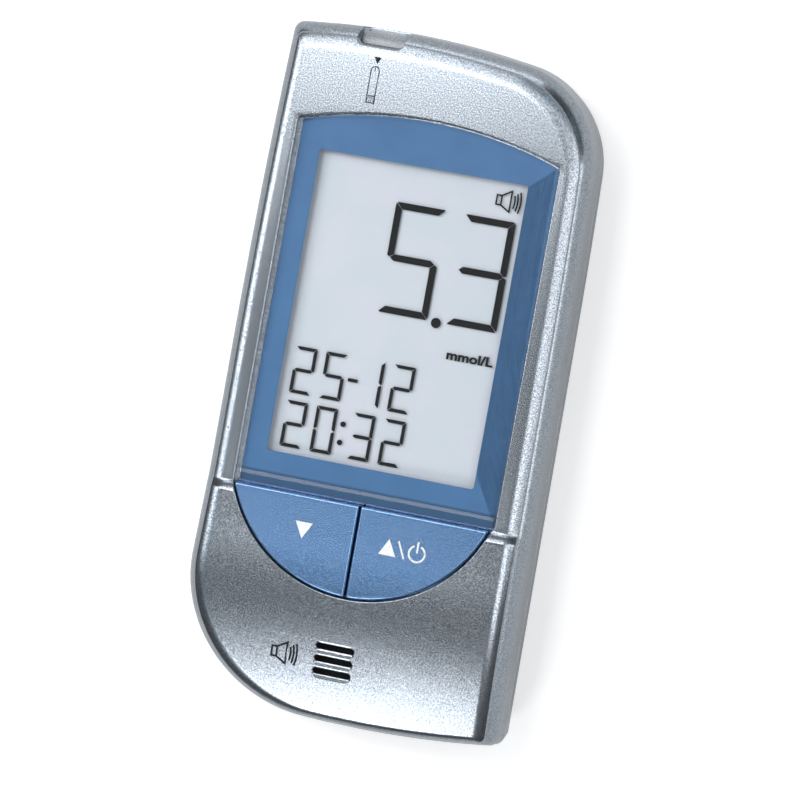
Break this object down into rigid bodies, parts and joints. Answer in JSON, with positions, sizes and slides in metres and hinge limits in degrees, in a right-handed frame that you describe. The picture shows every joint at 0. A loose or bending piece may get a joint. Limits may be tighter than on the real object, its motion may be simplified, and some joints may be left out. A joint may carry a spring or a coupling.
{
  "type": "blood glucose meter",
  "caption": "Pocket blood glucose meter with a large display, a half-moon pair of keys, sound slots, a test strip port and a sliding battery cover.",
  "frame": {"origin": "on the table under the middle of the body, which lies on its back", "axes": "+X to the right of the display, +Y towards the test strip port, +Z out of the display"},
  "size_m": [0.0529, 0.1076, 0.0218],
  "materials": {
    "silver_front": "silver metallic paint",
    "silver_back": "silver metallic paint",
    "silver_cover": "silver metallic paint",
    "blue_lens": "clear acrylic, printed blue from behind",
    "black_tape": "matte",
    "display_glass": "polished",
    "white_film": "satin",
    "white_frame": "matte",
    "connector_rubber": "matte",
    "circuit_board": "satin solder resist",
    "chip_plastic": "matte",
    "gold_contact": "polished gold plate",
    "mat_rubber": "matte",
    "carbon": "matte",
    "blue_key": "light blue metallic paint",
    "speaker_steel": "satin",
    "cone_plastic": "satin",
    "foam": "matte",
    "cloth": "matte",
    "lead_plastic": "satin",
    "grey_port": "fine grain",
    "socket_plastic": "matte",
    "cell_can": "printed wrap over metal",
    "spring_steel": "nickel plate",
    "screw_steel": "zinc plate"
  },
  "bodies": {
    "housing": {"front_housing": "silver_front", "rear_housing": "silver_back", "display_lens": "blue_lens", "lens_tape": "black_tape", "lcd_glass": "display_glass", "lcd_reflector": "white_film", "lcd_frame": "white_frame", "zebra_strips": "connector_rubber", "main_pcb": "circuit_board", "pcb_chips": "chip_plastic", "key_contacts": "gold_contact", "key_mat": "mat_rubber", "speaker_case": "speaker_steel", "speaker_cone": "cone_plastic", "speaker_gasket": "foam", "speaker_mesh": "cloth", "speaker_leads": "lead_plastic", "strip_port": "grey_port", "strip_socket": "socket_plastic", "strip_contacts": "gold_contact", "battery_left": "cell_can", "battery_right": "cell_can", "battery_springs": "spring_steel", "battery_plates": "spring_steel", "housing_screws": "screw_steel", "pcb_screws": "screw_steel"},
    "down_key": {"down_key": "blue_key", "down_key_pill": "carbon"},
    "power_key": {"power_key": "blue_key", "power_key_pill": "carbon"},
    "battery_cover": {"battery_cover": "silver_cover"}
  },
  "joints": [
    {"name": "down_key_press", "type": "slide", "parent": "housing", "child": "down_key", "axis": [0, 0, -1], "range_m": [0, 0.0006], "stiffness_N_per_m": 600, "springref_m": -0.0005, "deforming": ["key_mat"]},
    {"name": "power_key_press", "type": "slide", "parent": "housing", "child": "power_key", "axis": [0, 0, -1], "range_m": [0, 0.0006], "stiffness_N_per_m": 600, "springref_m": -0.0005, "deforming": ["key_mat"]},
    {"name": "battery_cover_slide", "type": "slide", "parent": "housing", "child": "battery_cover", "axis": [0, -1, 0], "range_m": [0, 0.056]}
  ]
}
